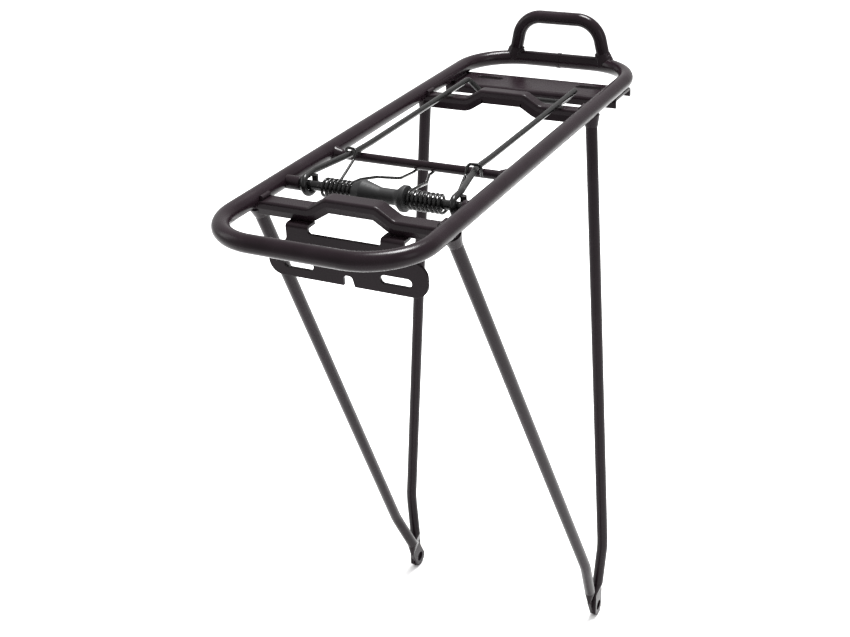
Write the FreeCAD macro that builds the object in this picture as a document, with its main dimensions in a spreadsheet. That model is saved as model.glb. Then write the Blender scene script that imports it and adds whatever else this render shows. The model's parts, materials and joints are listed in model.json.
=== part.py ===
import FreeCAD, Part
import math
import os
import re
import Sketcher
from FreeCAD import Placement, Rotation, Vector

# Bicycle rear rack, in millimetres: a tubular platform with a front hoop, four legs that meet in two
# drilled feet, two pressed cross-members, a slotted mounting plate, a tail-light bracket and a sprung
# luggage clamp.  +X is the rack's right, +Y points to the front of the bicycle, +Z is up.
# The origin is midway between the two foot holes.

doc = FreeCAD.newDocument("rear_rack")
sheet = doc.addObject("Spreadsheet::Sheet", "Dims")

DIMS = {
    # platform
    "deck_height": 407.0,        # centre plane of the platform tube above the foot holes
    "deck_width": 130.0,         # between rail centres
    "deck_rear": 254.0,          # rear tube centre, behind the foot holes
    "deck_front": 130.0,         # front tube centre, ahead of the foot holes
    "rear_bend": 36.0,
    "front_bend": 39.0,
    "rail_dia": 11.0,
    "rail_bore": 8.6,
    "seam_length": 2.4,
    "seam_rise": 0.35,
    # front hoop
    "hoop_dia": 10.2,
    "hoop_bore": 7.8,
    "hoop_foot": 37.4,           # half distance between its feet
    "hoop_shoulder": 30.0,
    "hoop_rise": 33.0,
    "hoop_bend": 19.0,
    # legs
    "leg_dia": 8.5,
    "leg_bore": 6.1,
    "leg_top": 64.0,             # half distance between leg axes at platform height
    "rear_leg_set": 196.4,
    "front_leg_set": 27.4,
    "rear_leg_spread": 85.9,     # where the straight axes would meet the foot height
    "front_leg_spread": 88.7,
    "foot_inner": 78.3,          # inner face of the foot
    "tab_thick": 2.8,
    "tab_width": 13.4,
    "foot_hole": 8.2,
    "tab_tip": 8.2,              # hole centre to the tip
    "tab_corner": 3.4,
    "flat_start": 13.0,          # above the hole, where the pressed end is fully flat
    "press_start": 22.0,         # above the hole, where the tube is still round
    "ease_top": 58.0,            # height of the inward bend
    "ease_bend": 90.0,
    "rear_tilt": 25.8,           # lean of the flat ends, in degrees
    "front_tilt": -3.8,
    # cross-members
    "member_rear_set": 192.9,
    "member_front_set": 24.2,
    "member_width": 9.6,
    "rear_member_width": 12.2,
    "rear_hump_shift": 2.0,      # the rear one's raised centre sits a little to the right
    "member_wall": 1.5,
    "member_side": 4.6,
    "member_lip": 4.2,
    "lip_slant": 1.3,
    "hump_rise": 7.2,
    "hump_top": 17.0,
    "hump_foot": 28.5,
    "hump_depth": 7.4,
    "hump_bend": 6.0,
    "fold_bend": 1.8,
    "end_overlap": 3.0,          # how far a cross piece reaches past a rail's centre before coping
    # weld beads
    "leg_flare": 1.9,
    "leg_flare_run": 8.5,
    "flare_drop": 4.5,           # from the top of the leg to the top of its collar
    "hoop_flare": 2.6,
    "hoop_flare_run": 9.0,
    "rest_flare": 2.6,
    "rest_flare_run": 6.5,
    "flare_edge": 0.2,
    "member_bead": 1.7,
    "plate_bead": 1.5,
    "plate_bead_run": 18.0,
    # mounting plate
    "plate_near": 67.5,
    "plate_far": 101.0,
    "plate_half": 68.0,
    "plate_wall": 2.0,
    "plate_flange": 7.0,
    "stay_slot_set": 88.5,
    "stay_slot_pitch": 80.0,
    "stay_slot_length": 21.0,
    "stay_slot_width": 6.4,
    # tail-light bracket
    "light_plane": 204.0,
    "light_wall": 2.0,
    "light_bar_top": 21.0,       # top of the rounded ends, below the platform centre plane
    "light_cut_bottom": 14.1,
    "light_bend": 2.4,
    "light_round": 9.0,
    "light_flange": 9.0,
    "light_bar_bottom": 43.0,
    "light_half": 53.0,
    "tab_inner": 24.0,
    "tab_outer": 39.0,
    "light_hang": 9.1,
    "light_slot_drop": 34.6,
    "light_slot_pitch": 65.0,
    "light_slot_length": 20.5,
    "light_slot_width": 5.5,
    # clamp
    "axle_set": 165.0,
    "axle_drop": 0.5,
    "axle_dia": 6.0,
    "boss_dia": 8.8,
    "left_boss": 8.6,
    "right_boss": 1.2,
    "rest_set": 108.0,
    "rest_drop": 2.0,
    "rest_dia": 6.0,
    "bail_dia": 4.0,
    "eye_play": 0.1,
    "left_eye": -47.3,
    "right_eye": 52.4,
    "eye_pitch": 4.3,
    "left_rod": -41.3,
    "right_rod": 43.3,
    "rod_rise": 3.6,
    "bail_front": 52.5,
    "bail_dip": 8.0,
    "spring_wire": 1.9,
    "coil_dia": 10.4,             # mean diameter
    "left_coil_start": -34.2,
    "left_coil_end": -15.3,
    "right_coil_start": 23.6,
    "right_coil_end": 45.1,
    "left_turns": 6.5,
    "right_turns": 7.5,
    "left_bridge": -2.8,
    "right_bridge": 9.0,
    "sleeve_left": -14.0,
    "sleeve_right": 22.3,
    "sleeve_end": 11.2,
    "sleeve_crest": 16.2,
    "sleeve_waist": 9.6,
}

for row, (name, value) in enumerate(DIMS.items(), start=1):
    sheet.set("A%d" % row, name)
    sheet.set("B%d" % row, str(value))
    sheet.setAlias("B%d" % row, name)
doc.recompute()


def linked(text):
    """An expression in plain dimension names, with each name made a link to the sheet."""
    return re.sub(r"[a-z_]+", lambda word: "Dims." + word.group() if word.group() in DIMS else word.group(), text)


def size(text):
    return float(sheet.evalExpression(linked(text)))


def place(thing, x="0", y="0", z="0", rotation=None):
    """Puts an object at a place whose coordinates stay bound to the sheet."""
    thing.Placement = Placement(Vector(size(x), size(y), size(z)), rotation or Rotation())
    for axis, text in (("x", x), ("y", y), ("z", z)):
        thing.setExpression(".Placement.Base." + axis, linked(text))
    return thing


# ---------------------------------------------------------------- sketch helpers

def new_body(name):
    return doc.addObject("PartDesign::Body", name)


def new_sketch(body, name, plane, offset="0"):
    sketch = body.newObject("Sketcher::SketchObject", name)
    origin_plane = [item for item in body.Origin.OriginFeatures if item.Role == plane][0]
    sketch.AttachmentSupport = [(origin_plane, "")]
    sketch.MapMode = "FlatFace"
    sketch.AttachmentOffset = Placement(Vector(0, 0, size(offset)), Rotation())
    sketch.setExpression(".AttachmentOffset.Base.z", linked(offset))
    return sketch


def bind(sketch, constraint, text):
    index = sketch.addConstraint(constraint)
    sketch.setExpression("Constraints[%d]" % index, linked(text))


def pin(sketch, geometry, point, x, y):
    """Holds a point of the sketch at bound coordinates."""
    for kind, text in (("DistanceX", x), ("DistanceY", y)):
        if abs(size(text)) < 1e-9:
            other = "Vertical" if kind == "DistanceX" else "Horizontal"
            sketch.addConstraint(Sketcher.Constraint(other, -1, 1, geometry, point))
        else:
            bind(sketch, Sketcher.Constraint(kind, -1, 1, geometry, point, size(text)), text)


def short_arc(centre, radius, one, other):
    """The arc of less than half a turn between two points, drawn anticlockwise."""
    angles = [math.atan2(point.y - centre.y, point.x - centre.x) for point in (one, other)]
    if (angles[1] - angles[0]) % (2 * math.pi) > math.pi:
        angles.reverse()
    return Part.ArcOfCircle(Part.Circle(centre, Vector(0, 0, 1), radius), angles[0], angles[1])


def outline(sketch, corners, closed=True):
    """Draws straight runs between bound corners (x, y, bend radius), with tangent arcs at the bends."""
    points = [Vector(size(x), size(y), 0) for x, y, bend in corners]
    count = len(points)
    starts, ends = list(points), list(points)
    arcs = {}
    for i, (x, y, bend) in enumerate(corners):
        if bend is None:
            continue
        before = (points[i - 1] - points[i]).normalize()
        after = (points[(i + 1) % count] - points[i]).normalize()
        half = before.getAngle(after) / 2
        radius = size(bend)
        run = radius / math.tan(half)
        centre = points[i] + (before + after).normalize() * (radius / math.sin(half))
        ends[i] = points[i] + before * run
        starts[i] = points[i] + after * run
        arcs[i] = sketch.addGeometry(short_arc(centre, radius, ends[i], starts[i]))
    lines = {}
    for i in range(count if closed else count - 1):
        j = (i + 1) % count
        lines[i] = sketch.addGeometry(Part.LineSegment(starts[i], ends[j]))
    for i, (x, y, bend) in enumerate(corners):
        into, out = lines.get((i - 1) % count), lines.get(i)
        if not closed and i == 0:
            into = None
        if bend is None:
            if into is not None and out is not None:
                sketch.addConstraint(Sketcher.Constraint("Coincident", into, 2, out, 1))
            pin(sketch, *((out, 1) if out is not None else (into, 2)), x, y)
            continue
        arc = sketch.Geometry[arcs[i]]
        first = 1 if (arc.StartPoint - ends[i]).Length < 1e-6 else 2
        sketch.addConstraint(Sketcher.Constraint("Tangent", into, 2, arcs[i], first))
        sketch.addConstraint(Sketcher.Constraint("Tangent", arcs[i], 3 - first, out, 1))
        corner = sketch.addGeometry(Part.Point(points[i]), True)
        sketch.addConstraint(Sketcher.Constraint("PointOnObject", corner, 1, into))
        sketch.addConstraint(Sketcher.Constraint("PointOnObject", corner, 1, out))
        pin(sketch, corner, 1, x, y)
        bind(sketch, Sketcher.Constraint("Radius", arcs[i], size(bend)), bend)


def ring(sketch, x, y, radius):
    centre = Vector(size(x), size(y), 0)
    circle = sketch.addGeometry(Part.Circle(centre, Vector(0, 0, 1), size(radius)))
    pin(sketch, circle, 3, x, y)
    bind(sketch, Sketcher.Constraint("Radius", circle, size(radius)), radius)


def slot(sketch, x, y, length, width):
    """A slot along the sketch's first axis, round at both ends."""
    reach = "(%s - %s) / 2" % (length, width)
    left, right = "%s - %s" % (x, reach), "%s + %s" % (x, reach)
    radius = size(width) / 2
    up = Vector(0, radius, 0)
    ends = [Vector(size(left), size(y), 0), Vector(size(right), size(y), 0)]
    top = sketch.addGeometry(Part.LineSegment(ends[1] + up, ends[0] + up))
    bottom = sketch.addGeometry(Part.LineSegment(ends[0] - up, ends[1] - up))
    west = sketch.addGeometry(
        Part.ArcOfCircle(Part.Circle(ends[0], Vector(0, 0, 1), radius), math.pi / 2, 3 * math.pi / 2))
    east = sketch.addGeometry(
        Part.ArcOfCircle(Part.Circle(ends[1], Vector(0, 0, 1), radius), -math.pi / 2, math.pi / 2))
    for line, start, arc, finish in ((top, 2, west, 1), (bottom, 1, west, 2), (bottom, 2, east, 1), (top, 1, east, 2)):
        sketch.addConstraint(Sketcher.Constraint("Tangent", arc, finish, line, start))
    pin(sketch, west, 3, left, y)
    pin(sketch, east, 3, right, y)
    bind(sketch, Sketcher.Constraint("Radius", west, radius), width + " / 2")


def pad(body, sketch, length, midplane=False, reverse=False):
    feature = body.newObject("PartDesign::Pad", sketch.Name + "_pad")
    feature.Profile = sketch
    feature.Length = size(length)
    feature.setExpression("Length", linked(length))
    feature.Midplane = midplane
    feature.Reversed = reverse
    return feature


def pocket(body, sketch):
    """Cuts the sketch right through the body, both ways."""
    feature = body.newObject("PartDesign::Pocket", sketch.Name + "_cut")
    feature.Profile = sketch
    feature.Type = "ThroughAll"
    feature.Midplane = True
    return feature


def pipe(body, profile, spine):
    feature = body.newObject("PartDesign::AdditivePipe", spine.Name + "_pipe")
    feature.Profile = profile
    feature.Spine = (spine, [])
    return feature


# ---------------------------------------------------------------- joining helpers

def cut(label, base, *tools):
    """The base piece with its ends coped to the pieces it is welded against."""
    result = base
    for i, tool in enumerate(tools):
        step = doc.addObject("Part::Cut", "%s_cope%d" % (label, i))
        step.Base, step.Tool = result, tool
        result = step
    result.Label = label
    return result


def cylinder(name, radius, height, x, y, z, rotation=None):
    shape = doc.addObject("Part::Cylinder", name)
    shape.Radius, shape.Height = size(radius), size(height)
    shape.setExpression("Radius", linked(radius))
    shape.setExpression("Height", linked(height))
    return place(shape, x, y, z, rotation)


ALONG_X = Rotation(Vector(0, 1, 0), 90)


def group(label, members):
    compound = doc.addObject("Part::Compound", label)
    compound.Links = members
    compound.Label = label
    return compound


# ---------------------------------------------------------------- platform loop and hoop

DECK_PATH = [
    ("deck_width / 2", "0", None),
    ("deck_width / 2", "deck_front", "front_bend"),
    ("-deck_width / 2", "deck_front", "front_bend"),
    ("-deck_width / 2", "-deck_rear", "rear_bend"),
    ("deck_width / 2", "-deck_rear", "rear_bend"),
]


def deck_tube(name, radius):
    """A rod bent along the platform loop, closed on itself beside the right foot."""
    body = new_body(name)
    spine = new_sketch(body, name + "_path", "XY_Plane")
    outline(spine, DECK_PATH)
    profile = new_sketch(body, name + "_section", "XZ_Plane")
    ring(profile, "deck_width / 2", "0", radius)
    doc.recompute()
    pipe(body, profile, spine)
    return place(body, z="deck_height")


def hoop_tube(name, radius):
    body = new_body(name)
    spine = new_sketch(body, name + "_path", "XZ_Plane")
    outline(spine, [
        ("-hoop_foot", "0", None),
        ("-hoop_shoulder", "hoop_rise", "hoop_bend"),
        ("hoop_shoulder", "hoop_rise", "hoop_bend"),
        ("hoop_foot", "0", None),
    ], closed=False)
    profile = new_sketch(body, name + "_section", "XY_Plane")
    ring(profile, "-hoop_foot", "0", radius)
    doc.recompute()
    pipe(body, profile, spine)
    return place(body, y="deck_front", z="deck_height")


loop_rod = deck_tube("loop_rod", "rail_dia / 2")
loop_hollow = deck_tube("loop_hollow", "rail_bore / 2")
carrier_loop = cut("carrier_loop", loop_rod, loop_hollow)

hoop_rod = hoop_tube("hoop_rod", "hoop_dia / 2")
hoop_hollow = hoop_tube("hoop_hollow", "hoop_bore / 2")
front_hoop = cut("front_hoop", hoop_rod, hoop_hollow, loop_rod)
doc.recompute()


# ---------------------------------------------------------------- bent wires and legs

def bent_path(points, bends):
    """Straight runs joined by tangent arcs; one radius for each point between the two ends."""
    edges, last = [], points[0]
    for i, radius in enumerate(bends, start=1):
        before = (points[i - 1] - points[i]).normalize()
        after = (points[i + 1] - points[i]).normalize()
        half = before.getAngle(after) / 2
        run = radius / math.tan(half)
        start, end = points[i] + before * run, points[i] + after * run
        centre = points[i] + (before + after).normalize() * (radius / math.sin(half))
        middle = centre + (points[i] - centre).normalize() * radius
        edges.append(Part.LineSegment(last, start).toShape())
        edges.append(Part.Arc(start, middle, end).toShape())
        last = end
    edges.append(Part.LineSegment(last, points[-1]).toShape())
    return edges


def rod_along(edges, radius):
    """A round rod along a chain of edges."""
    wire = Part.Wire(edges)
    first = edges[0]
    start, heading = first.valueAt(first.FirstParameter), first.tangentAt(first.FirstParameter)
    section = Part.Wire([Part.Circle(start, heading, radius).toShape()])
    return wire.makePipeShell([section], True, False)


def solid_piece(name, shape):
    piece = doc.addObject("Part::Feature", name)
    piece.Shape = shape
    return piece


def section_wire(centre, along, wide, width, depth, radius):
    """A rounded rectangle across a leg: width along one direction, depth across it."""
    deep = along.cross(wide).normalize()
    corners = []
    for a, b in ((1, 1), (-1, 1), (-1, -1), (1, -1)):
        corners.append((a * (width / 2 - radius), b * (depth / 2 - radius), a, b))
    edges = []
    for i, (u, v, a, b) in enumerate(corners):
        angle = math.atan2(b, a)
        arc_points = []
        for turn in (-math.pi / 4, 0, math.pi / 4):
            p, q = u + radius * math.cos(angle + turn), v + radius * math.sin(angle + turn)
            arc_points.append(centre + wide * p + deep * q)
        edges.append(arc_points)
    shape = []
    for i, arc_points in enumerate(edges):
        shape.append(Part.Arc(*arc_points).toShape())
        gap = Part.LineSegment(arc_points[2], edges[(i + 1) % 4][0])
        shape.append(gap.toShape())
    return Part.Wire(shape)


def left_leg_blank(name, setback, spread, face, tilt):
    """A tube from the left rail to the foot: straight, eased inwards, then pressed flat and drilled.
    face is the middle plane of its flat end; tilt is the flat's lean towards the rear, in degrees."""
    radius, bore = size("leg_dia") / 2, size("leg_bore") / 2
    deck, flat_start = size("deck_height"), size("flat_start")
    lean = math.radians(tilt)
    down = Vector(0, math.sin(lean), -math.cos(lean))
    across = Vector(0, math.cos(lean), math.sin(lean))

    def axis(height):
        share = height / deck
        return Vector(-(spread + (size("leg_top") - spread) * share), setback * share, height)

    hole = Vector(-face, 0, 0)
    top, ease = axis(deck), axis(size("ease_top"))
    neck = hole - down * size("press_start")
    chain = bent_path([top, ease, neck], [size("ease_bend")])
    tube = rod_along(chain, radius).cut(rod_along(chain, bore))
    heading = (neck - ease).normalize()
    round_end = section_wire(neck, heading, (across - heading * across.dot(heading)).normalize(),
                             2 * radius, 2 * radius, radius * 0.98)
    width, thick = size("tab_width"), size("tab_thick")
    start = hole - down * flat_start
    flat_end = section_wire(start, down, across, width, thick, thick * 0.3)
    press = Part.makeLoft([round_end, flat_end], True, True)
    tip, corner = size("tab_tip"), size("tab_corner")
    outline_points = []
    for u, v in ((-width / 2, -flat_start), (width / 2, -flat_start), (width / 2, tip - corner),
                 (width / 2 - corner, tip), (corner - width / 2, tip), (-width / 2, tip - corner)):
        outline_points.append(hole + across * u + down * v - Vector(thick / 2, 0, 0))
    blade = Part.Face(Part.makePolygon(outline_points + outline_points[:1])).extrude(Vector(thick, 0, 0))
    drill = Part.makeCylinder(size("foot_hole") / 2, 4 * thick, hole - Vector(2 * thick, 0, 0), Vector(1, 0, 0))
    shape = tube.fuse([press, blade]).cut(drill)
    return solid_piece(name, shape)


def mirrored(name, source):
    """The right-hand twin of a left-hand piece."""
    twin = doc.addObject("Part::Mirroring", name)
    twin.Source = source
    twin.Normal = Vector(1, 0, 0)
    return twin


def leg_stem(name, side, setback, spread):
    """The round rod that fills the top of a leg, for coping what is welded to it."""
    top = Vector(side * size("leg_top"), size(setback), size("deck_height"))
    turn = Rotation(Vector(0, 0, 1), Vector(side * size(spread), 0, 0) - top)
    return cylinder(name, "leg_dia / 2", "40", "%d * leg_top" % side, setback, "deck_height", turn)


REAR_FACE = size("foot_inner + tab_thick / 2")
FRONT_FACE = size("foot_inner + tab_thick * 1.5")
front_blank = left_leg_blank("front_leg_blank", size("front_leg_set"), size("front_leg_spread"), FRONT_FACE,
                             size("front_tilt"))
rear_blank = left_leg_blank("rear_leg_blank", -size("rear_leg_set"), size("rear_leg_spread"), REAR_FACE,
                            size("rear_tilt"))
blanks = {
    "left": (rear_blank, front_blank),
    "right": (mirrored("rear_leg_twin", rear_blank), mirrored("front_leg_twin", front_blank)),
}
legs, rear_stems, front_stems = [], [], []
for word, side in (("left", -1), ("right", 1)):
    rear, front = blanks[word]
    front_leg = cut("front_leg_" + word, front, loop_rod)
    legs += [cut("rear_leg_" + word, rear, loop_rod, front_leg), front_leg]
    rear_stems.append(leg_stem("rear_stem_" + word, side, "-rear_leg_set", "rear_leg_spread"))
    front_stems.append(leg_stem("front_stem_" + word, side, "front_leg_set", "front_leg_spread"))


# ---------------------------------------------------------------- cross-members

def cross_member(name, setback, width, shift, turned, stems):
    """A pressed channel with a raised centre. One side wall ends in a lip that leans in,
    the other in a lip that curls out, and both lips stop at the raised centre."""
    body = new_body(name + "_blank")
    half, wall = width + " / 2", "member_wall"
    spine = new_sketch(body, name + "_path", "XZ_Plane")
    outline(spine, [
        ("-deck_width / 2 + end_overlap", "0", None),
        (shift + " - hump_foot", "0", "hump_bend"),
        (shift + " - hump_top", "hump_rise", "hump_bend"),
        (shift + " + hump_top", "hump_rise", "hump_bend"),
        (shift + " + hump_foot", "0", "hump_bend"),
        ("deck_width / 2 - end_overlap", "0", None),
    ], closed=False)
    section = new_sketch(body, name + "_section", "YZ_Plane", "-deck_width / 2 + end_overlap")
    side, lip = "-member_side", "-member_side - member_lip"
    near, far = "-" + half, half
    outline(section, [
        (near + " + lip_slant", lip, None),
        (near, side, None),
        (near, "0", "fold_bend"),
        (far, "0", "fold_bend"),
        (far, side, None),
        (far + " + lip_slant", lip, None),
        (far + " + lip_slant - " + wall, lip, None),
        (far + " - " + wall, side, None),
        (far + " - " + wall, "-" + wall, None),
        (near + " + " + wall, "-" + wall, None),
        (near + " + " + wall, side, None),
        (near + " + lip_slant + " + wall, lip, None),
    ])
    doc.recompute()
    pipe(body, section, spine)
    relief = new_sketch(body, name + "_relief", "XZ_Plane")
    outline(relief, [
        (shift + " - hump_top - 4", "-hump_depth - 8", None),
        (shift + " - hump_top - 1", "hump_rise - hump_depth", "3"),
        (shift + " + hump_top + 1", "hump_rise - hump_depth", "3"),
        (shift + " + hump_top + 4", "-hump_depth - 8", None),
    ])
    doc.recompute()
    pocket(body, relief)
    spin = Rotation(Vector(0, 0, 1), 180 if turned else 0)
    place(body, y=setback, z="deck_height - 0.2", rotation=spin)
    return cut(name, body, loop_rod, *stems)


rear_member = cross_member("rear_crossmember", "-member_rear_set", "rear_member_width", "rear_hump_shift", False,
                           rear_stems)
front_member = cross_member("front_crossmember", "member_front_set", "member_width", "0", True, front_stems)


# ---------------------------------------------------------------- front mounting plate

def mounting_plate():
    """A shallow channel under the front of the rails, with two slots for the frame stays."""
    body = new_body("front_mount_plate")
    section = new_sketch(body, "plate_section", "YZ_Plane")
    depth, wall = "-plate_flange", "plate_wall"
    outline(section, [
        ("plate_near", depth, None),
        ("plate_near", "0", "3"),
        ("plate_far", "0", "3"),
        ("plate_far", depth, None),
        ("plate_far - " + wall, depth, None),
        ("plate_far - " + wall, "-" + wall, "1"),
        ("plate_near + " + wall, "-" + wall, "1"),
        ("plate_near + " + wall, depth, None),
    ])
    pad(body, section, "plate_half * 2", midplane=True)
    slots = new_sketch(body, "plate_slots", "XY_Plane")
    for side in ("-", ""):
        slot(slots, side + "stay_slot_pitch / 2", "stay_slot_set", "stay_slot_length", "stay_slot_width")
    doc.recompute()
    pocket(body, slots)
    return place(body, z="deck_height - rail_dia / 2 - 0.05")


mount_plate = mounting_plate()


# ---------------------------------------------------------------- tail-light bracket

def light_bracket():
    """A pressed plate hung from the rear cross-member by two bent tabs, with two level slots."""
    body = new_body("tail_light_bracket")
    plate = new_sketch(body, "light_plate", "XZ_Plane", "light_plane - light_wall")
    top, bar, low = "-light_hang - light_bend - 0.3", "-light_bar_top", "-light_bar_bottom"
    rim = "-light_cut_bottom"
    outline(plate, [
        ("-tab_outer", top, None),
        ("-tab_outer", bar, "4"),
        ("-light_half", bar, "light_round"),
        ("-light_half", low, "light_round"),
        ("-2.4", low, None),
        ("-2.4", low + " + 6.5", "2.5"),
        ("3.4", low + " + 6.5", "2.5"),
        ("5", low, None),
        ("light_half", low, "light_round"),
        ("light_half", bar, "light_round"),
        ("tab_outer", bar, "4"),
        ("tab_outer", top, None),
        ("tab_inner", top, None),
        ("tab_inner", rim, "2"),
        ("-tab_inner", rim, "2"),
        ("-tab_inner", top, None),
    ])
    pad(body, plate, "light_wall")
    outer, wall, hang = "-light_plane", "light_wall", "-light_hang"
    for side, edge in (("left", "-tab_outer"), ("right", "tab_inner")):
        bend = new_sketch(body, "light_tab_" + side, "YZ_Plane", edge)
        outline(bend, [
            (outer, top, None),
            (outer, hang, "light_bend"),
            (outer + " + light_flange", hang, None),
            (outer + " + light_flange", hang + " - " + wall, None),
            (outer + " + " + wall, hang + " - " + wall, "light_bend - " + wall),
            (outer + " + " + wall, top, None),
        ])
        pad(body, bend, "tab_outer - tab_inner")
    slots = new_sketch(body, "light_slots", "XZ_Plane")
    for side in ("-", ""):
        slot(slots, side + "light_slot_pitch / 2", "-light_slot_drop", "light_slot_length", "light_slot_width")
    doc.recompute()
    pocket(body, slots)
    return place(body, z="deck_height")


bracket = light_bracket()


# ---------------------------------------------------------------- rest rod and clamp axle

rest_blank = cylinder("rest_rod_blank", "rest_dia / 2", "deck_width - 2 * end_overlap", "-deck_width / 2 + end_overlap",
                      "-rest_set", "deck_height - rest_drop", ALONG_X)
rest_rod = cut("rest_rod", rest_blank, loop_rod)

AXLE_HEIGHT = "deck_height - axle_drop"
axle_blank = cylinder("clamp_axle_blank", "axle_dia / 2", "deck_width - 2 * end_overlap", "-deck_width / 2 + end_overlap",
                      "-axle_set", AXLE_HEIGHT, ALONG_X)
clamp_axle = cut("clamp_axle", axle_blank, loop_rod)


def axle_boss(label, start, length):
    """A collar between the rail and the clamp, bored for the axle."""
    collar = cylinder(label + "_blank", "boss_dia / 2", length, start, "-axle_set", AXLE_HEIGHT, ALONG_X)
    bore = cylinder(label + "_bore", "axle_dia / 2 + 0.02", length, start, "-axle_set", AXLE_HEIGHT, ALONG_X)
    return cut(label, collar, bore, loop_rod)


left_boss = axle_boss("axle_boss_left", "-deck_width / 2 + 4", "left_boss + 1.5")
right_boss = axle_boss("axle_boss_right", "deck_width / 2 - 5.5 - right_boss", "right_boss + 1.5")


def axle_sleeve():
    """A spool-shaped sleeve between the two coils: a long left shoulder, a waist and a steep right one."""
    body = new_body("axle_sleeve")
    bore, rim, crest, waist = "axle_dia / 2 + 0.1", "sleeve_end / 2", "sleeve_crest / 2", "sleeve_waist / 2"
    left, right = "sleeve_left", "sleeve_right"
    profile = new_sketch(body, "sleeve_profile", "XZ_Plane")
    outline(profile, [
        (left, bore, None),
        (left, rim, "0.8"),
        (left + " + 6.4", crest, "1.6"),
        (left + " + 18", waist, "6"),
        (right + " - 7.5", waist, "3"),
        (right + " - 3.6", crest, "1.2"),
        (right + " - 0.8", crest, "0.8"),
        (right, rim, "0.6"),
        (right, bore, None),
    ])
    doc.recompute()
    turn = body.newObject("PartDesign::Revolution", "sleeve_turn")
    turn.Profile = profile
    turn.ReferenceAxis = (profile, ["H_Axis"])
    turn.Angle = 360
    return place(body, y="-axle_set", z=AXLE_HEIGHT)


sleeve = axle_sleeve()


# ---------------------------------------------------------------- clamp bail and spring

AXIS = Vector(0, -size("axle_set"), size(AXLE_HEIGHT))


def around(x, radius, degrees):
    """A point beside the axle: 0 degrees is in front of it, 90 above it."""
    turn = math.radians(degrees)
    return AXIS + Vector(x, radius * math.cos(turn), radius * math.sin(turn))


def coil(start_x, end_x, radius, start, turns):
    """A helix about the axle, from an angle in degrees and through some turns, as a B-spline edge chain."""
    steps = max(8, int(abs(turns) * 12))
    points = []
    for i in range(steps + 1):
        share = i / steps
        points.append(around(start_x + (end_x - start_x) * share, radius, start + 360 * turns * share))
    curve = Part.BSplineCurve()
    curve.interpolate(points)
    return curve.toShape()


def clamp_bail():
    """One bent rod: an eye round the axle at each end, two arms over the rest rod, and a cross bar
    that drops behind the front cross-member."""
    radius = size("bail_dia") / 2
    wrap = size("axle_dia") / 2 + size("eye_play") + radius
    pitch, top = size("eye_pitch"), AXIS.z + wrap
    rod_z = size("deck_height + rod_rise")
    front, rest = size("bail_front"), -size("rest_set")
    shift = 0.75 * pitch

    def tail(x):
        """Three quarters of a turn, from the end that stands up in front of the axle to its top."""
        stub = Part.LineSegment(around(x, wrap, 0) + Vector(0, 0, 5.0), around(x, wrap, 0)).toShape()
        return [stub, coil(x, x - shift, wrap, 360, -0.75)]

    def arm_points(eye, rod):
        """From the top of the axle, over the rest rod and on to the front bend."""
        return [Vector(eye, AXIS.y, top), Vector(eye, AXIS.y + 9, top + 0.6),
                Vector(rod, rest - 8, rod_z + 0.6), Vector(rod, rest + 12, rod_z), Vector(rod, front, rod_z)]

    left, right = size("left_eye"), size("right_eye")
    left_rod, right_rod = size("left_rod"), size("right_rod")
    dip = rod_z - size("bail_dip") - 3
    route = arm_points(left, left_rod)
    route += [Vector(left_rod + 11, front + 1.5, dip), Vector(right_rod - 11, front + 1.5, dip)]
    route += arm_points(right, right_rod)[::-1]
    bends = [12, 20, 30, 3.6, 5, 5, 3.6, 30, 20, 12]
    middle = bent_path(route, bends)
    solids = [rod_along(middle, radius)]
    for eye in (left, right):
        stub, eye_coil = tail(eye + shift)
        solids += [rod_along([eye_coil], radius), rod_along([stub], radius)]
    return solid_piece("clamp_bail", solids[0].fuse(solids[1:]))


def clamp_spring():
    """One wire wound into two coils, joined by a loop under the rest rod, with a hook at each end
    over the bail's arms."""
    wire, radius = size("spring_wire") / 2, size("coil_dia") / 2
    rod_z, rest = size("deck_height + rod_rise"), -size("rest_set")
    under = size("deck_height - rest_drop - rest_dia / 2") - wire - 0.15
    over = rod_z + size("bail_dia") / 2 + wire + 1.2
    solids = []
    coils = (
        (size("left_coil_start"), size("left_coil_end"), size("left_turns"), size("left_rod"), -1),
        (size("right_coil_end"), size("right_coil_start"), size("right_turns"), size("right_rod"), 1),
    )
    for outer, inner, turns, rod, side in coils:
        solids.append(rod_along([coil(outer, inner, radius, 270, -turns)], wire))
        beside = rod - side * (size("bail_dia") / 2 + wire + 0.5)
        past = rod + side * (size("bail_dia") / 2 + wire + 1.5)
        hook_y = rest - 12
        leg_route = [around(outer, radius, 270), Vector(outer, AXIS.y + 14, AXIS.z - radius + 1.2),
                     Vector(beside, hook_y - 4, rod_z - 1.5), Vector(beside, hook_y, over),
                     Vector(past, hook_y + 1, over), Vector(past, hook_y + 2, rod_z - 3.5)]
        solids.append(rod_along(bent_path(leg_route, [6, 4, 2.2, 2.2]), wire))
    left_inner, right_inner = size("left_coil_end"), size("right_coil_start")
    left_bridge, right_bridge = size("left_bridge"), size("right_bridge")
    front = rest + 5
    bridge_route = [
        around(left_inner, radius, 90), Vector(left_inner, AXIS.y + 11, AXIS.z + 3.6),
        Vector(left_inner + 5, AXIS.y + 22, AXIS.z + 1.7), Vector(left_bridge + 3.3, AXIS.y + 31, AXIS.z - 1),
        Vector(left_bridge, rest - 4, under), Vector(left_bridge, front, under),
        Vector(right_bridge, front, under), Vector(right_bridge, rest - 4, under),
        Vector(right_inner - 3.5, AXIS.y + 28, AXIS.z - 0.5), Vector(right_inner, AXIS.y + 12, AXIS.z + 4),
        around(right_inner, radius, 90),
    ]
    solids.append(rod_along(bent_path(bridge_route, [5, 5, 5, 5, 3, 3, 5, 5, 5]), wire))
    return solid_piece("clamp_spring", solids[0].fuse(solids[1:]))


bail = clamp_bail()
spring = clamp_spring()
doc.recompute()


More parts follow.
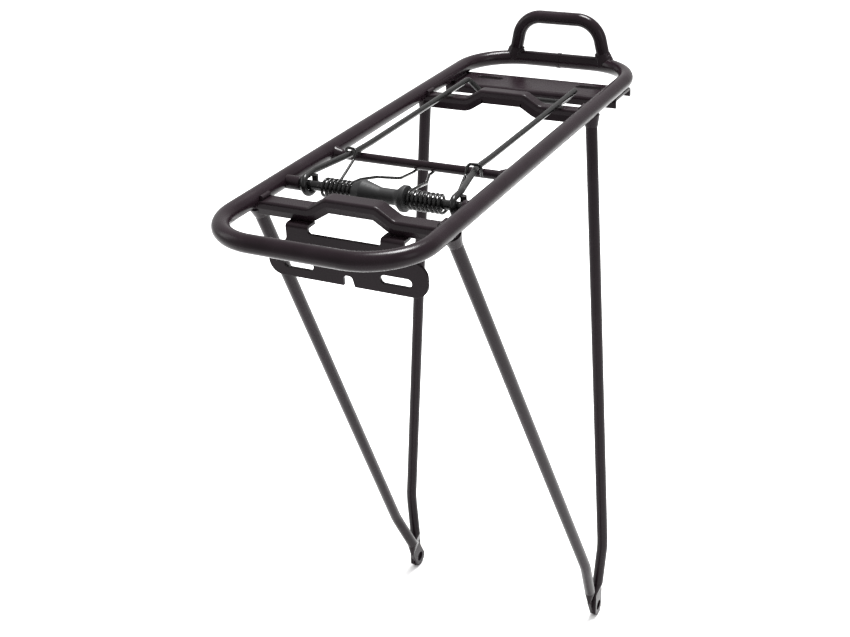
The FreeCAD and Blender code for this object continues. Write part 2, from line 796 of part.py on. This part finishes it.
# ---------------------------------------------------------------- weld beads

def trimmed(name, blank, tools):
    """A bead with the pieces that it joins taken out of it."""
    for i, tool in enumerate(tools):
        step = doc.addObject("Part::Cut", "%s_trim%d" % (name, i))
        step.Base, step.Tool = blank, tool
        blank = step
    return blank


def flare(name, wide, narrow, length, x, y, z, rotation):
    cone = doc.addObject("Part::Cone", name)
    for field, text in (("Radius1", wide), ("Radius2", narrow), ("Height", length)):
        setattr(cone, field, size(text))
        cone.setExpression(field, linked(text))
    return place(cone, x, y, z, rotation)


def leg_flare(stem, member):
    """A weld collar round the top of a leg, trimmed by the leg, the rail and the cross-member."""
    collar = doc.addObject("Part::Cone", stem.Name + "_flare")
    for field, text in (("Radius1", "leg_dia / 2 + leg_flare"), ("Radius2", "leg_dia / 2 + flare_edge"),
                        ("Height", "leg_flare_run")):
        setattr(collar, field, size(text))
        collar.setExpression(field, linked(text))
    collar.Placement = stem.Placement * Placement(Vector(0, 0, size("flare_drop")), Rotation())
    return trimmed(stem.Name, collar, [stem, loop_rod, member])


seam_blank = cylinder("seam_blank", "rail_dia / 2 + seam_rise", "seam_length", "-seam_length / 2",
                      "deck_front", "deck_height", ALONG_X)
seam_core = cylinder("seam_core", "rail_dia / 2 + 0.01", "seam_length", "-seam_length / 2",
                     "deck_front", "deck_height", ALONG_X)
loop_seam = cut("loop_seam", seam_blank, seam_core)

lean = math.degrees(math.atan2(size("hoop_foot - hoop_shoulder"), size("hoop_rise")))
hoop_beads = []
for side in (-1, 1):
    name = "hoop_flare%d" % side
    bead = flare(name, "hoop_dia / 2 + hoop_flare", "hoop_dia / 2 + flare_edge", "hoop_flare_run", "%d * hoop_foot" % side,
                 "deck_front", "deck_height", Rotation(Vector(0, 1, 0), -side * lean))
    hoop_beads.append(trimmed(name, bead, [hoop_rod, loop_rod]))
hoop_welds = group("hoop_welds", hoop_beads)

leg_beads = [leg_flare(stem, rear_member) for stem in rear_stems]
leg_beads += [leg_flare(stem, front_member) for stem in front_stems]
leg_welds = group("leg_welds", leg_beads)

ALONG_Y = Rotation(Vector(1, 0, 0), -90)
member_beads = []
for member, setback in ((rear_member, "-member_rear_set"), (front_member, "member_front_set")):
    for side in (-1, 1):
        name = "member_bead%d" % len(member_beads)
        bead = cylinder(name, "member_bead", "member_width - 1", "%d * (deck_width / 2 - 6.1)" % side,
                        setback + " - member_width / 2 + 0.5", "deck_height + 0.9", ALONG_Y)
        member_beads.append(trimmed(name, bead, [member, loop_rod, leg_welds, *legs]))
member_welds = group("crossmember_welds", member_beads)

rod_beads = []
for side in (-1, 1):
    name = "rest_flare%d" % side
    bead = flare(name, "rest_dia / 2 + rest_flare", "rest_dia / 2 + flare_edge", "rest_flare_run", "%d * (deck_width / 2 - 3.5)" % side,
                 "-rest_set", "deck_height - rest_drop", Rotation(Vector(0, 1, 0), -side * 90))
    rod_beads.append(trimmed(name, bead, [rest_rod, loop_rod]))
rest_welds = group("rest_rod_welds", rod_beads)

plate_beads = []
for side in (-1, 1):
    name = "plate_bead%d" % side
    bead = cylinder(name, "plate_bead", "plate_bead_run", "%d * (deck_width / 2 - 3.4)" % side, "plate_near + 3.5",
                    "deck_height - rail_dia / 2 + 1", ALONG_Y)
    plate_beads.append(trimmed(name, bead, [mount_plate, loop_rod]))
plate_welds = group("mount_plate_welds", plate_beads)
doc.recompute()

NODES = [carrier_loop, loop_seam, front_hoop, hoop_welds] + legs
NODES += [leg_welds, rear_member, front_member, member_welds, mount_plate, plate_welds, bracket]
NODES += [rest_rod, rest_welds, clamp_axle, left_boss, right_boss, sleeve, bail, spring]

for item in doc.Objects:
    if "Invalid" in item.State or "Error" in item.State:
        raise RuntimeError("%s did not build: %s" % (item.Label, item.State))
for item in NODES:
    if item.Shape.isNull() or not item.Shape.isValid():
        raise RuntimeError("%s has no valid shape" % item.Label)
    box = item.Shape.BoundBox
    print(item.Label, round(item.Shape.Volume), len(item.Shape.Solids),
          [round(value, 1) for value in (box.XMin, box.XMax, box.YMin, box.YMax, box.ZMin, box.ZMax)])
os.makedirs("parts", exist_ok=True)
for item in NODES:
    item.Shape.exportStep("parts/%s.step" % item.Label)
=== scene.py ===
import json
import math

import bpy
from mathutils import Matrix, Vector


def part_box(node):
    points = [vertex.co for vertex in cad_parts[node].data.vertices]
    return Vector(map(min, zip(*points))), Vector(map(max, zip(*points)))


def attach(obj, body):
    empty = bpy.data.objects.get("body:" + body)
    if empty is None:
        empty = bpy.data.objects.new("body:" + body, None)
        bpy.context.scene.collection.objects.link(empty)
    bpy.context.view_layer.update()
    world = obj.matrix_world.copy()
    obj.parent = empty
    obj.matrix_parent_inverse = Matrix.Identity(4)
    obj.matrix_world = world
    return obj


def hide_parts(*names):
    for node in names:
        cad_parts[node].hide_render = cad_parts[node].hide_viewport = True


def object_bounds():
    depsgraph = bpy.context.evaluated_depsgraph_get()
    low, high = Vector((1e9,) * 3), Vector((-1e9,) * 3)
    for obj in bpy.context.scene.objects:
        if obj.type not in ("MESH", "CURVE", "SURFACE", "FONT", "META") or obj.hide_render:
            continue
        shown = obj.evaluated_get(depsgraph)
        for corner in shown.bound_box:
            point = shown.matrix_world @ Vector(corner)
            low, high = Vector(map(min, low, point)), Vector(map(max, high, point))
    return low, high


# Bicycle rear rack: a powder-coated tubular frame with pressed cross-members and a sprung luggage clamp.
# Metres, +X the rack's right, +Y to the front of the bicycle, +Z up, origin between the foot holes.

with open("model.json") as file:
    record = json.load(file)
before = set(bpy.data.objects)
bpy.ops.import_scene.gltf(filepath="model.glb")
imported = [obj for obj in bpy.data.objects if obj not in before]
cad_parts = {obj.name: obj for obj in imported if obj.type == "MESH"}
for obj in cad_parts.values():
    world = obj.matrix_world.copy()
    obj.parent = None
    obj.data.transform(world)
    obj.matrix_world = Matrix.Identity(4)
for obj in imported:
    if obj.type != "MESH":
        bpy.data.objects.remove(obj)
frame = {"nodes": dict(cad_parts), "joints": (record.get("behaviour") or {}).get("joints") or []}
cad_box = [list(corner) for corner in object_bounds()]

MM = 0.001


# ---------------------------------------------------------------- places read from the frame

def span(node):
    low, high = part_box(node)
    return low, high, (low + high) / 2


HINGE = Vector(frame["joints"][0]["pos_m"])
loop_low, loop_high, loop_mid = span("carrier_loop")
RAIL_RADIUS = (loop_high.z - loop_low.z) / 2
RAIL_X = 65 * MM
DECK = loop_mid.z
FRONT_Y = span("loop_seam")[2].y
REST_ROD = span("rest_rod")[2]
REST_RADIUS = (span("rest_rod")[1].z - span("rest_rod")[0].z) / 2
BAIL_RADIUS = 2.0 * MM
LEG_RADIUS = 4.25 * MM
HOOP_RADIUS = (span("front_hoop")[1].y - span("front_hoop")[0].y) / 2


# ---------------------------------------------------------------- material building

class Nodes:
    """A small helper that adds and links shader nodes in one material."""

    def __init__(self, name):
        self.material = bpy.data.materials.new(name)
        self.material.use_nodes = True
        self.tree = self.material.node_tree
        self.shader = self.tree.nodes["Principled BSDF"]
        coordinates = self.tree.nodes.new("ShaderNodeTexCoord")
        self.place = coordinates.outputs["Object"]

    def add(self, kind, inputs=None, **settings):
        node = self.tree.nodes.new("ShaderNode" + kind)
        for key, value in settings.items():
            setattr(node, key, value)
        for key, value in (inputs or {}).items():
            self.feed(node.inputs[key], value)
        return node

    def feed(self, socket, value):
        if isinstance(value, bpy.types.NodeSocket):
            self.tree.links.new(value, socket)
        else:
            socket.default_value = value

    def noise(self, scale, detail=3.0, roughness=0.5, place=None):
        node = self.add("TexNoise", {"Vector": place or self.place, "Scale": scale, "Detail": detail,
                                     "Roughness": roughness})
        return node.outputs["Fac"]

    def band(self, value, low, high, out_low=0.0, out_high=1.0):
        node = self.add("MapRange", {"Value": value, "From Min": low, "From Max": high, "To Min": out_low,
                                     "To Max": out_high}, clamp=True)
        return node.outputs["Result"]

    def maths(self, operation, one, other):
        return self.add("Math", {0: one, 1: other}, operation=operation).outputs[0]

    def mixed(self, share, one, other):
        node = self.add("Mix", data_type="RGBA")
        self.feed(node.inputs["Factor"], share)
        self.feed(node.inputs[6], one)
        self.feed(node.inputs[7], other)
        return node.outputs[2]

    def edges(self, radius, low=0.02, high=0.22):
        """1 on sharp edges and 0 on flat faces, from the rounded normal's lean off the true one."""
        rounded = self.add("Bevel", {"Radius": radius}, samples=6)
        flat = self.add("NewGeometry")
        dot = self.add("VectorMath", {0: rounded.outputs["Normal"], 1: flat.outputs["Normal"]},
                       operation="DOT_PRODUCT")
        return rounded.outputs["Normal"], self.band(dot.outputs["Value"], 1 - low, 1 - high)

    def bump(self, height, distance, strength=1.0, normal=None):
        node = self.add("Bump", {"Height": height, "Distance": distance, "Strength": strength})
        if normal is not None:
            self.feed(node.inputs["Normal"], normal)
        return node.outputs["Normal"]

    def surface(self, **sockets):
        for key, value in sockets.items():
            self.feed(self.shader.inputs[key.replace("_", " ").title().replace("Ior", "IOR")], value)
        return self.material


def powder_coat(name, tone, rough, edge_radius, peel=1.0, worn=0.5):
    """Baked powder coat: fine orange peel, cloudy sheen, dust specks and slightly rubbed edges."""
    n = Nodes(name)
    rounded, edge = n.edges(edge_radius)
    grain = n.noise(1500.0, 2.0)
    orange_peel = n.noise(520.0, 3.0, 0.55)
    cloud = n.noise(38.0, 4.0, 0.6)
    specks = n.band(n.noise(2600.0, 1.0), 0.71, 0.76)
    rub = n.maths("MULTIPLY", edge, n.band(n.noise(240.0, 4.0, 0.65), 0.46, 0.66, 0.0, worn))
    deep = (tone * 1.15, tone * 0.66, tone * 0.9, 1.0)
    light = (tone * 1.7, tone * 1.04, tone * 1.4, 1.0)
    base = n.mixed(n.band(cloud, 0.3, 0.7), deep, light)
    base = n.mixed(n.maths("MULTIPLY", specks, 0.35), base, (tone * 3.2, tone * 3.1, tone * 3.1, 1.0))
    base = n.mixed(rub, base, (0.05, 0.045, 0.045, 1.0))
    roughness = n.maths("ADD", n.band(cloud, 0.3, 0.7, rough - 0.05, rough + 0.06),
                        n.band(grain, 0.35, 0.65, -0.03, 0.04))
    height = n.maths("ADD", n.maths("MULTIPLY", orange_peel, 1.0), n.maths("MULTIPLY", grain, 0.35))
    normal = n.bump(height, 0.00006 * peel, 0.55, rounded)
    return n.surface(base_color=base, roughness=roughness, normal=normal, metallic=0.0,
                     specular_ior_level=0.115)


def lacquered_wire(name, tone, rough):
    """Drawn wire under thin glossy lacquer: lengthwise die lines, small chips and a wet sheen."""
    n = Nodes(name)
    rounded, edge = n.edges(0.0004)
    drawn = n.add("Mapping", {"Vector": n.place, "Scale": (1.0, 0.12, 1.0)}).outputs[0]
    lines = n.noise(900.0, 3.0, 0.6, drawn)
    cloud = n.noise(90.0, 3.0)
    chips = n.maths("MULTIPLY", n.band(n.noise(700.0, 4.0, 0.7), 0.63, 0.68), 0.55)
    base = n.mixed(n.band(cloud, 0.3, 0.7), (tone * 0.8, tone * 0.8, tone * 0.82, 1.0),
                   (tone * 1.3, tone * 1.25, tone * 1.25, 1.0))
    bare = n.maths("MAXIMUM", chips, n.maths("MULTIPLY", edge, 0.4))
    base = n.mixed(bare, base, (0.08, 0.075, 0.073, 1.0))
    roughness = n.band(lines, 0.3, 0.7, rough - 0.06, rough + 0.1)
    normal = n.bump(lines, 0.00003, 0.6, rounded)
    return n.surface(base_color=base, roughness=roughness, normal=normal, specular_ior_level=0.2,
                     coat_weight=0.05, coat_roughness=0.14)


def moulded(name, tone):
    """Matt moulded spacer: satin skin, faint turning rings and pale scuffs on its flanges."""
    n = Nodes(name)
    rounded, edge = n.edges(0.0005)
    rings = n.add("TexWave", {"Vector": n.place, "Scale": 340.0, "Distortion": 0.6, "Detail": 1.0},
                  bands_direction="X").outputs["Fac"]
    grain = n.noise(1800.0, 2.0)
    scuffs = n.band(n.noise(150.0, 5.0, 0.7), 0.55, 0.72, 0.0, 0.35)
    base = n.mixed(n.maths("MAXIMUM", scuffs, n.maths("MULTIPLY", edge, 0.5)),
                   (tone * 0.9, tone * 0.9, tone * 0.95, 1.0), (tone * 2.4, tone * 2.4, tone * 2.5, 1.0))
    roughness = n.band(grain, 0.3, 0.7, 0.5, 0.66)
    height = n.maths("ADD", n.maths("MULTIPLY", rings, 0.3), grain)
    normal = n.bump(height, 0.00005, 0.6, rounded)
    return n.surface(base_color=base, roughness=roughness, normal=normal, specular_ior_level=0.25)


def studio_floor():
    n = Nodes("studio_floor")
    tone = n.band(n.noise(1.5, 2.0), 0.3, 0.7, 0.90, 0.92)
    base = n.add("CombineColor", {"Red": tone, "Green": tone, "Blue": tone})
    return n.surface(base_color=base.outputs[0], roughness=0.85, specular_ior_level=0.1)


tube_coat = powder_coat("tube_powder_coat", 0.0060, 0.23, 0.0005, 1.0, 0.35)
sheet_coat = powder_coat("pressed_sheet_powder_coat", 0.0058, 0.28, 0.0007, 1.15, 0.7)
weld_coat = powder_coat("coated_weld", 0.0060, 0.26, 0.0004, 2.2, 0.2)
boss_coat = powder_coat("boss_powder_coat", 0.0066, 0.30, 0.0006, 0.9, 0.6)
bail_coat = lacquered_wire("clamp_rod_lacquer", 0.0055, 0.24)
axle_coat = lacquered_wire("axle_lacquer", 0.005, 0.22)
spring_coat = lacquered_wire("spring_lacquer", 0.0032, 0.24)
sleeve_skin = moulded("sleeve_moulding", 0.0062)

FINISHES = {
    tube_coat: ["carrier_loop", "front_hoop", "rear_leg_left", "rear_leg_right", "front_leg_left",
                "front_leg_right", "rest_rod"],
    sheet_coat: ["rear_crossmember", "front_crossmember", "front_mount_plate", "tail_light_bracket"],
    weld_coat: ["loop_seam", "hoop_welds", "leg_welds", "crossmember_welds", "mount_plate_welds",
                "rest_rod_welds"],
    boss_coat: ["axle_boss_left", "axle_boss_right"],
    bail_coat: ["clamp_bail"],
    axle_coat: ["clamp_axle"],
    sleeve_skin: ["axle_sleeve"],
    spring_coat: ["clamp_spring"],
}
for finish, names in FINISHES.items():
    for name in names:
        materials = frame["nodes"][name].data.materials
        for i in range(len(materials)):
            materials[i] = finish
        if not materials:
            materials.append(finish)


# ---------------------------------------------------------------- mesh helpers

def add_mesh(name, points, faces, material, body):
    mesh = bpy.data.meshes.new(name)
    mesh.from_pydata(points, [], faces)
    mesh.polygons.foreach_set("use_smooth", [True] * len(mesh.polygons))
    mesh.materials.append(material)
    mesh.update()
    piece = bpy.data.objects.new(name, mesh)
    bpy.context.scene.collection.objects.link(piece)
    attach(piece, body)
    return piece


def tube_mesh(path, radii, closed, sides=20):
    """Rings of points along a path, carried from one to the next without twist, and their faces."""
    count = len(path)
    points, faces = [], []
    side = None
    for i, spot in enumerate(path):
        after = path[(i + 1) % count] if closed else path[min(i + 1, count - 1)]
        before = path[i - 1] if closed else path[max(i - 1, 0)]
        heading = (after - before).normalized()
        if side is None:
            side = heading.orthogonal().normalized()
        side = (side - heading * side.dot(heading)).normalized()
        up = heading.cross(side)
        for k in range(sides):
            angle = 2 * math.pi * k / sides
            points.append(spot + (side * math.cos(angle) + up * math.sin(angle)) * radii[i])
    for i in range(count if closed else count - 1):
        j = (i + 1) % count
        for k in range(sides):
            m = (k + 1) % sides
            faces.append((i * sides + k, i * sides + m, j * sides + m, j * sides + k))
    if not closed:
        faces.append(tuple(reversed(range(sides))))
        faces.append(tuple(range((count - 1) * sides, count * sides)))
    return points, faces


def rounded_path(corners, bends, steps=7):
    """Straight runs joined by tangent arcs, as points: one bend radius for each inner corner."""
    points = [corners[0]]
    for i, radius in enumerate(bends, start=1):
        before = (corners[i - 1] - corners[i]).normalized()
        after = (corners[i + 1] - corners[i]).normalized()
        half = before.angle(after) / 2
        middle = (before + after).normalized()
        centre = corners[i] + middle * (radius / math.sin(half))
        start = corners[i] + before * (radius / math.tan(half)) - centre
        end = corners[i] + after * (radius / math.tan(half)) - centre
        turn = start.angle(end)
        for k in range(steps + 1):
            share = k / steps
            points.append(centre + (start * math.sin((1 - share) * turn) + end * math.sin(share * turn))
                          / math.sin(turn))
    points.append(corners[-1])
    return points


# ---------------------------------------------------------------- weld beads

def ripple(share, waves, phase):
    """The scalloped swell of a bead laid down in overlapping drops."""
    drop = (share * waves + phase) % 1.0
    return 0.90 + 0.20 * math.sqrt(max(0.0, 1 - (2 * drop - 1) ** 2)) + 0.05 * math.sin(9 * share + phase)


def joint_line(centre, heading, radius, rail_point, rail_axis, steps=96):
    """Where a round rod, running along heading towards a rail, meets that rail's surface."""
    side = heading.orthogonal().normalized()
    up = heading.cross(side)
    line = []
    for k in range(steps):
        angle = 2 * math.pi * k / steps
        start = centre + (side * math.cos(angle) + up * math.sin(angle)) * radius
        offset = start - rail_point
        flat_offset = offset - rail_axis * offset.dot(rail_axis)
        flat_heading = heading - rail_axis * heading.dot(rail_axis)
        a = flat_heading.dot(flat_heading)
        b = flat_offset.dot(flat_heading)
        c = flat_offset.dot(flat_offset) - RAIL_RADIUS ** 2
        root = math.sqrt(max(0.0, b * b - a * c))
        line.append(start + heading * ((-b - root) / a))
    return line


def bead(name, line, thickness, closed, phase):
    """A scalloped bead along a line, in steps of a few tenths of a millimetre."""
    length = sum((line[(i + 1) % len(line)] - line[i]).length for i in range(len(line) - (not closed)))
    count = max(24, int(length / (0.22 * MM)))
    waves = max(3, round(length / (1.9 * MM)))
    path = []
    for k in range(count):
        place = k / count * (len(line) if closed else len(line) - 1)
        low = int(place)
        path.append(line[low].lerp(line[(low + 1) % len(line)], place - low))
    radii = [thickness * ripple(k / count, waves, phase) for k in range(count)]
    if not closed:
        for k, radius in enumerate(radii):
            end = min(k, count - 1 - k) / (0.12 * count)
            radii[k] = radius * math.sqrt(min(1.0, 0.15 + end))
    points, faces = tube_mesh(path, radii, closed, 14)
    return add_mesh(name, points, faces, weld_coat, "rack")


LEG_TOP_X = 64 * MM
HOOP_FOOT, HOOP_SHOULDER, HOOP_RISE = 37.4 * MM, 30 * MM, 33 * MM
LEGS = {
    "rear": (-196.4 * MM, 85.9 * MM),
    "front": (27.4 * MM, 88.7 * MM),
}
ALONG_X, ALONG_Y = Vector((1, 0, 0)), Vector((0, 1, 0))

for side, word in ((-1, "left"), (1, "right")):
    rail = Vector((side * RAIL_X, 0, DECK))
    for which, (setback, spread) in LEGS.items():
        top = Vector((side * LEG_TOP_X, setback, DECK))
        heading = (top - Vector((side * spread, 0, 0))).normalized()
        line = joint_line(top - heading * 40 * MM, heading, LEG_RADIUS, rail, ALONG_Y)
        bead("leg_bead_%s_%s" % (which, word), line, 0.95 * MM, True, 0.3 + side * 0.2)
    line = joint_line(Vector((0, REST_ROD.y, REST_ROD.z)), Vector((side, 0, 0)), REST_RADIUS, rail, ALONG_Y)
    bead("rest_rod_bead_" + word, line, 1.0 * MM, True, 0.1 * side)
    foot = Vector((side * HOOP_FOOT, FRONT_Y, DECK))
    rise = Vector((side * (HOOP_SHOULDER - HOOP_FOOT), 0, HOOP_RISE)).normalized()
    line = joint_line(foot + rise * 30 * MM, -rise, HOOP_RADIUS, Vector((0, FRONT_Y, DECK)), ALONG_X)
    bead("hoop_bead_low_" + word, line, 1.5 * MM, True, 0.4 * side)
    upper = [point + rise * 2.1 * MM for point in line]
    bead("hoop_bead_high_" + word, upper, 1.05 * MM, True, 0.7)


# ---------------------------------------------------------------- clamp spring

WIRE = 0.95 * MM            # radius of the spring wire
WIRE_SIDES = 16
COIL_RADIUS = 5.2 * MM      # to the middle of the wire
COIL_START = 270            # degrees round the axle: straight below it
WIDE_BEND, TIGHT_BEND = 5 * MM, 3 * MM
SKIN = 0.015 * MM           # keeps the moving leg's surface off the coil that it winds from
TRAVEL = frame["joints"][0]["range_deg"][1]


def around(x, degrees):
    """A point beside the axle: 0 degrees is in front of it, 90 above it."""
    turn = math.radians(degrees)
    return Vector((x, HINGE.y + COIL_RADIUS * math.cos(turn), HINGE.z + COIL_RADIUS * math.sin(turn)))


def coil_path(start_x, end_x, start, turns, steps_per_turn=36):
    steps = int(abs(turns) * steps_per_turn)
    return [around(start_x + (end_x - start_x) * k / steps, start + 360 * turns * k / steps)
            for k in range(steps + 1)]


def wire(name, path, radius, body):
    points, faces = tube_mesh(path, [radius] * len(path), False, WIRE_SIDES)
    return add_mesh(name, points, faces, spring_coat, body)


ROD_Z = DECK + 3.6 * MM
UNDER = REST_ROD.z - REST_RADIUS - WIRE - 0.15 * MM
OVER = ROD_Z + BAIL_RADIUS + WIRE + 1.2 * MM
BRIDGE_LEFT, BRIDGE_RIGHT = -2.8 * MM, 9.0 * MM
COILS = {
    "left": dict(outer=-34.2 * MM, inner=-15.3 * MM, turns=6.5, rod=-41.3 * MM, side=-1),
    "right": dict(outer=45.1 * MM, inner=23.6 * MM, turns=7.5, rod=43.3 * MM, side=1),
}


def spring_leg(word, outer, inner, turns, rod, side):
    """The hooked leg over the bail's arm. It turns with the bail, and carries the part of the coil
    that winds up as the clamp opens."""
    beside = rod - side * (BAIL_RADIUS + WIRE + 0.5 * MM)
    past = rod + side * (BAIL_RADIUS + WIRE + 1.5 * MM)
    hook_y = REST_ROD.y - 12 * MM
    start = around(outer, COIL_START)
    corners = [
        start,
        Vector((outer, HINGE.y + 14 * MM, start.z + 1.2 * MM)),
        Vector((beside, hook_y - 4 * MM, ROD_Z - 1.5 * MM)),
        Vector((beside, hook_y, OVER)),
        Vector((past, hook_y + 1 * MM, OVER)),
        Vector((past, hook_y + 2 * MM, ROD_Z - 3.5 * MM)),
    ]
    leg = rounded_path(corners, [6 * MM, 4 * MM, 2.2 * MM, 2.2 * MM])
    share = TRAVEL / 360
    pitch = (inner - outer) / turns
    wound = coil_path(outer + pitch * share, outer, COIL_START - TRAVEL, share)
    return wire("spring_leg_" + word, wound[:-1] + leg, WIRE + SKIN, "clamp")


def spring_coils():
    """Both coils and the loop that joins them under the rest rod, in one wire."""
    left, right = COILS["left"], COILS["right"]
    front = REST_ROD.y + 5 * MM
    corners = [
        around(left["inner"], 90),
        Vector((left["inner"], HINGE.y + 11 * MM, HINGE.z + 3.6 * MM)),
        Vector((left["inner"] + 5 * MM, HINGE.y + 22 * MM, HINGE.z + 1.7 * MM)),
        Vector((BRIDGE_LEFT + 3.3 * MM, HINGE.y + 31 * MM, HINGE.z - 1 * MM)),
        Vector((BRIDGE_LEFT, REST_ROD.y - 4 * MM, UNDER)),
        Vector((BRIDGE_LEFT, front, UNDER)),
        Vector((BRIDGE_RIGHT, front, UNDER)),
        Vector((BRIDGE_RIGHT, REST_ROD.y - 4 * MM, UNDER)),
        Vector((right["inner"] - 3.5 * MM, HINGE.y + 28 * MM, HINGE.z - 0.5 * MM)),
        Vector((right["inner"], HINGE.y + 12 * MM, HINGE.z + 4 * MM)),
        around(right["inner"], 90),
    ]
    bridge = rounded_path(corners, [WIDE_BEND] * 4 + [TIGHT_BEND] * 2 + [WIDE_BEND] * 3)
    first = coil_path(left["outer"], left["inner"], COIL_START, -left["turns"])
    last = coil_path(right["outer"], right["inner"], COIL_START, -right["turns"])
    coils = wire("spring_coils", first[:-1] + bridge + last[-2::-1], WIRE, "rack")
    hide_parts("clamp_spring")


spring_coils()
for word, measures in COILS.items():
    spring_leg(word, **measures)


# ---------------------------------------------------------------- studio

def studio():
    floor_z = cad_box[0][2] - 0.2 * MM
    mesh = bpy.data.meshes.new("floor")
    reach = 14.0
    mesh.from_pydata([(-reach, -reach, floor_z), (reach, -reach, floor_z), (reach, reach, floor_z),
                      (-reach, reach, floor_z)], [], [(0, 1, 2, 3)])
    mesh.materials.append(studio_floor())
    floor = bpy.data.objects.new("floor", mesh)
    bpy.context.scene.collection.objects.link(floor)

    world = bpy.data.worlds.new("studio_world")
    world.use_nodes = True
    background = world.node_tree.nodes["Background"]
    background.inputs["Color"].default_value = (1.0, 0.995, 0.99, 1.0)
    background.inputs["Strength"].default_value = 0.9
    bpy.context.scene.world = world


def softbox(name, spot, aim, width, height, power):
    light = bpy.data.lights.new(name, "AREA")
    light.shape = "RECTANGLE"
    light.size, light.size_y = width, height
    light.energy = power
    lamp = bpy.data.objects.new(name, light)
    lamp.location = spot
    lamp.rotation_mode = "QUATERNION"
    lamp.rotation_quaternion = (Vector(aim) - Vector(spot)).to_track_quat("-Z", "Y")
    bpy.context.scene.collection.objects.link(lamp)


def camera():
    """The viewpoint: behind the rack, to its right and above, with a slight roll."""
    around_z, above, roll = math.radians(26.78), math.radians(26.256), math.radians(-2.479)
    back = Vector((math.sin(around_z) * math.cos(above), -math.cos(around_z) * math.cos(above),
                   math.sin(above)))
    level = Vector((math.cos(around_z), math.sin(around_z), 0))
    upright = back.cross(level)
    right = level * math.cos(roll) + upright * math.sin(roll)
    up = upright * math.cos(roll) - level * math.sin(roll)
    data = bpy.data.cameras.new("camera")
    data.sensor_fit = "HORIZONTAL"
    data.sensor_width = 36.0
    data.lens = 54.08
    data.shift_x, data.shift_y = -0.0379, -0.0258
    data.clip_start, data.clip_end = 0.05, 60.0
    view = bpy.data.objects.new("camera", data)
    turned = Matrix((right, up, back)).transposed().to_4x4()
    view.matrix_world = Matrix.Translation(Vector((358.1, -772.7, 684.1)) * MM) @ turned
    bpy.context.scene.collection.objects.link(view)
    bpy.context.scene.camera = view


studio()
AIM = (0.0, -0.05, 0.35)
softbox("overhead", (0.1, 0.5, 2.1), AIM, 0.75, 0.55, 105.0)
softbox("left_side", (-1.9, -0.6, 1.3), AIM, 0.8, 1.2, 9.0)
softbox("right_side", (1.9, -0.4, 1.1), AIM, 0.7, 1.1, 6.0)
camera()
bpy.context.scene.view_settings.view_transform = "Standard"
